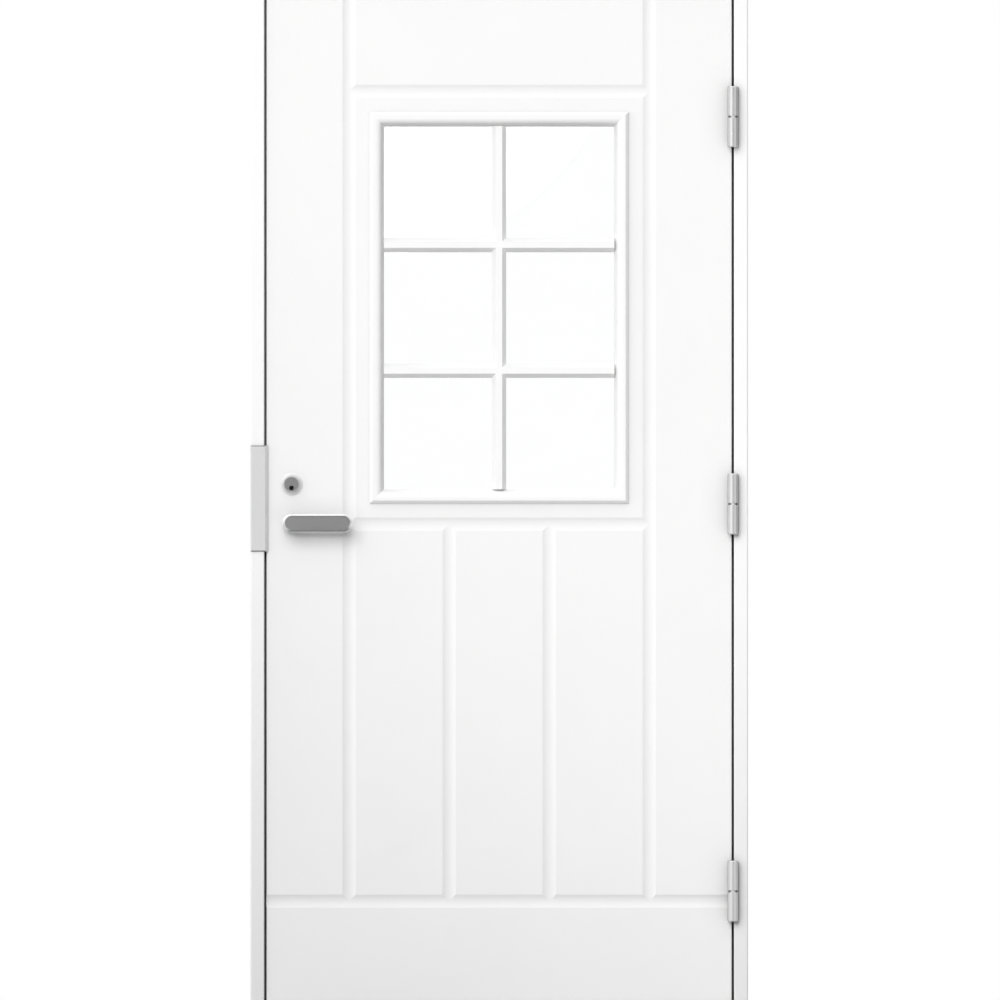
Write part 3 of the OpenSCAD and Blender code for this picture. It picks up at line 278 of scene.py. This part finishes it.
def glassMaterial(name, look):
    mat, tree, shader = newMaterial(name)
    wipe = noise(tree, placeCoords(tree, look["wipeAlong"]), look["wipeScale"], look["wipeDetail"])
    low, high = look["wipeBand"]
    feed(tree, shader, {"Base Color": tint(tree, wipe, [(low, look["wiped"]), (high, look["colour"])]),
                        "Roughness": 0, "IOR": look["bend"], "Transmission Weight": 1})
    # shadow and bounce rays go straight through, so that daylight reaches the bars behind the panes
    path = add(tree, "ShaderNodeLightPath").outputs
    straight = maths(tree, "MAXIMUM", path["Is Shadow Ray"], path["Is Diffuse Ray"])
    clear = add(tree, "ShaderNodeBsdfTransparent")
    showMix(tree, straight, shader.outputs["BSDF"], clear.outputs["BSDF"])
    return mat


made = {"clearGlass": glassMaterial("clearGlass", glass)}
makers = [(paintMaterial, paints), (metalMaterial, metals), (timberMaterial, timbers), (softMaterial, softs)]
for maker, looks in makers:
    for name, look in looks.items():
        made[name] = maker(name, look)
print("materials made:", len(made))

# which CAD node wears which material
wears = {
    "framePaint": ["hinge_jamb", "lock_jamb", "frame_head"],
    "leafPaint": ["outer_skin", "inner_skin", "lock_stile", "hinge_stile", "top_rail", "bottom_rail"],
    "beadPaint": ["outer_glazing_frame", "inner_glazing_frame", "outer_bars", "inner_bars"],
    "clearGlass": ["outer_pane", "middle_pane", "inner_pane"],
    "oakSill": ["threshold"],
    "coverAluminium": ["threshold_cover", "outer_spacer", "inner_spacer"],
    "darkRubber": ["frame_seal", "threshold_seal", "setting_blocks"],
    "paleSeal": ["outer_glazing_seal", "inner_glazing_seal"],
    "hingeSteel": ["top_hinge_frame_half", "middle_hinge_frame_half", "bottom_hinge_frame_half",
                   "top_hinge_leaf_half", "middle_hinge_leaf_half", "bottom_hinge_leaf_half", "hinge_pins"],
    "washerSteel": ["hinge_washers"],
    "darkPlastic": ["key_shutter"],
    "screwSteel": ["strike_screws", "hinge_frame_screws", "edge_screws", "hinge_leaf_screws"],
    "plateSteel": ["strike_plate", "lock_forend", "lock_case", "lock_cover"],
    "guardZinc": ["guard_plate"],
    "pineUpright": ["lining_sides"],
    "pineCross": ["lining_rails"],
    "foamCore": ["insulation_core"],
    "leverSteel": ["outer_lever", "inner_lever", "outer_rose", "inner_rose", "thumb_rose", "thumb_turn"],
    "ringSteel": ["cylinder_ring"],
    "cylinderSteel": ["cylinder_body", "key_plug"],
    "lockSteel": ["spindle", "follower", "latch_bolt", "dead_bolt", "bolt_cam"],
}
for name, members in wears.items():
    for member in members:
        cad[member].data.materials.clear()
        cad[member].data.materials.append(made[name])
print("nodes dressed")

# floor: soft shadow near the door, plain white further out
floor = {"size": 60.0, "colour": (0.92, 0.92, 0.92), "speck": 0.985, "speckScale": 40.0,
         "speckBand": (0.3, 0.7), "rough": 0.9, "shine": 0.1, "bounce": 0.4, "doorHalf": 0.5,
         "whiteFrom": 0.30, "whiteTo": 0.75, "mirrored": 0.3, "mirroredSide": 1.0, "sideFrom": 0.0,
         "sideTo": 0.7}


def floorMaterial(name, look):
    mat, tree, shader = newMaterial(name)
    place = add(tree, "ShaderNodeTexCoord").outputs["Object"]
    path = add(tree, "ShaderNodeLightPath").outputs
    dim = [c * look["speck"] for c in look["colour"]]
    low, high = look["speckBand"]
    specked = tint(tree, noise(tree, place, look["speckScale"]), [(low, dim), (high, look["colour"])])
    # what it throws back on the door is darker than what is seen
    sent = add(tree, "ShaderNodeMix", data_type="RGBA")
    feed(tree, sent, {"Factor": path["Is Diffuse Ray"], "A": specked, "B": grey(look["bounce"])})
    feed(tree, shader, {"Base Color": sent.outputs["Result"], "Roughness": look["rough"],
                        "Specular IOR Level": look["shine"]})
    # distance from the door's footprint
    sides = split(tree, place)
    beside = maths(tree, "SUBTRACT", maths(tree, "ABSOLUTE", sides["X"]), look["doorHalf"])
    beside = maths(tree, "MAXIMUM", beside, 0.0)
    away = add(tree, "ShaderNodeCombineXYZ", {"X": beside, "Y": sides["Y"]})
    distance = vectors(tree, "LENGTH", away.outputs["Vector"])
    far = spread(tree, distance, 0, 1, look["whiteFrom"], look["whiteTo"], interpolation_type="SMOOTHSTEP")
    # the eye sees white far out, metal mirrors a dim floor before the door and a pale one at its sides
    seen = eyeRays(tree, path)
    mirrored = spread(tree, beside, look["mirrored"], look["mirroredSide"], look["sideFrom"], look["sideTo"])
    glow = maths(tree, "MAXIMUM", seen, maths(tree, "MULTIPLY", path["Is Glossy Ray"], mirrored))
    light = add(tree, "ShaderNodeEmission", {"Color": grey(1), "Strength": glow})
    share = maths(tree, "MAXIMUM", maths(tree, "MULTIPLY", far, seen), path["Is Glossy Ray"])
    showMix(tree, share, shader.outputs["BSDF"], light.outputs["Emission"])
    return mat


def makeFloor(look):
    half = look["size"] / 2
    mesh = bpy.data.meshes.new("floor")
    corners = [(-half, -half, 0), (half, -half, 0), (half, half, 0), (-half, half, 0)]
    mesh.from_pydata(corners, [], [(0, 1, 2, 3)])
    mesh.materials.append(floorMaterial("floorWhite", look))
    plane = bpy.data.objects.new("floor", mesh)
    bpy.context.collection.objects.link(plane)


makeFloor(floor)
print("floor laid")

# studio: white for the eye, a soft fill from upper left and behind, and what metal mirrors from left to right
# straight ahead metal mirrors a dim zone, with a darker ring round it
studio = {"fill": 0.60, "fillLean": (-0.58, 0.38, 0.34), "fillLeast": 0.04, "seen": 1.0,
          "mirrorFront": 0.33, "frontAim": (0.15, -0.99, 0.0), "frontReach": (1, 1, 0.4),
          "frontFrom": 0.53, "frontTo": 0.28, "mirrorRing": 0.2, "ringFrom": 0.24, "ringTo": 0.16,
          "mirrorTones": [(0.0, 0.55), (0.03, 1.0), (0.12, 1.6), (0.35, 1.6), (0.65, 1.1), (0.86, 1.0),
                          (0.95, 0.6), (1.0, 0.1)]}


def makeStudio(look):
    world = bpy.data.worlds.new("studio")
    bpy.context.scene.world = world
    world.use_nodes = True
    tree = world.node_tree
    ray = add(tree, "ShaderNodeTexCoord").outputs["Generated"]
    lean = vectors(tree, "DOT_PRODUCT", ray, look["fillLean"])
    fill = maths(tree, "MAXIMUM", maths(tree, "ADD", lean, look["fill"]), look["fillLeast"])
    across = spread(tree, split(tree, ray)["X"], 0, 1, -1, 1)
    # the ramp holds halves, so that tones above one fit in it
    halves = tint(tree, across, [(place, (tone / 2,) * 3) for place, tone in look["mirrorTones"]])
    tones = maths(tree, "MULTIPLY", halves, 2.0)
    beside = vectors(tree, "SUBTRACT", ray, look["frontAim"])
    facing = vectors(tree, "LENGTH", vectors(tree, "MULTIPLY", beside, look["frontReach"]))
    front = spread(tree, facing, look["mirrorRing"], look["mirrorFront"], look["ringFrom"], look["ringTo"])
    mirror = spread(tree, facing, tones, front, look["frontFrom"], look["frontTo"],
                    interpolation_type="SMOOTHSTEP")
    path = add(tree, "ShaderNodeLightPath").outputs
    lit = add(tree, "ShaderNodeMix", data_type="FLOAT")
    feed(tree, lit, {"Factor": path["Is Glossy Ray"], "A": fill, "B": mirror})
    shown = add(tree, "ShaderNodeMix", data_type="FLOAT")
    feed(tree, shown, {"Factor": eyeRays(tree, path), "A": lit.outputs["Result"], "B": look["seen"]})
    feed(tree, tree.nodes["Background"], {"Color": grey(1), "Strength": shown.outputs["Result"]})


makeStudio(studio)

# key from upper left, a lamp behind for the inside, a spot that lights the upper part more than the foot
lamps = {"keyStrength": 1.40, "keyAngle": 38, "keyFrom": (-0.26, -1.0, 0.46),
         "backStrength": 0.85, "backAngle": 24, "backFrom": (0.12, 1.0, 0.36),
         "spotPower": 338.0, "spotSize": 0.6, "spotCone": 56, "spotBlend": 0.5,
         "spotFrom": (-0.3, -6.0, 2.2), "spotAt": (1.34, -0.05, 2.45)}


def placeLamp(light, aim):
    lamp = bpy.data.objects.new(light.name, light)
    lamp.rotation_euler = aim.to_track_quat("-Z", "Y").to_euler()
    lamp.visible_glossy = False
    bpy.context.collection.objects.link(lamp)
    return lamp


def makeLamps(look):
    for name in ("key", "back"):
        sun = bpy.data.lights.new(name, "SUN")
        sun.energy = look[name + "Strength"]
        sun.angle = math.radians(look[name + "Angle"])
        placeLamp(sun, -Vector(look[name + "From"]))
    spot = bpy.data.lights.new("spot", "SPOT")
    spot.energy = look["spotPower"]
    spot.shadow_soft_size = look["spotSize"]
    spot.spot_size = math.radians(look["spotCone"])
    spot.spot_blend = look["spotBlend"]
    placeLamp(spot, Vector(look["spotAt"]) - Vector(look["spotFrom"])).location = look["spotFrom"]


makeLamps(lamps)
print("lights set")

# head-on view of the outside with a long lens, cut a little below the head and above the sill
shot = {"away": 40.0, "face": -0.0575, "centreX": 0.0017, "centreZ": 1.046, "width": 1.989, "sensor": 36.0,
        "seesTo": 200.0}


def placeCamera(look):
    lens = bpy.data.cameras.new("shot")
    lens.sensor_width = look["sensor"]
    lens.lens = look["sensor"] * look["away"] / look["width"]
    lens.clip_end = look["seesTo"]
    eye = bpy.data.objects.new("shot", lens)
    eye.location = (look["centreX"], look["face"] - look["away"], look["centreZ"])
    eye.rotation_euler = (math.radians(90), 0, 0)
    bpy.context.collection.objects.link(eye)
    bpy.context.scene.camera = eye


placeCamera(shot)
bpy.context.scene.view_settings.view_transform = "Standard"
print("camera placed")
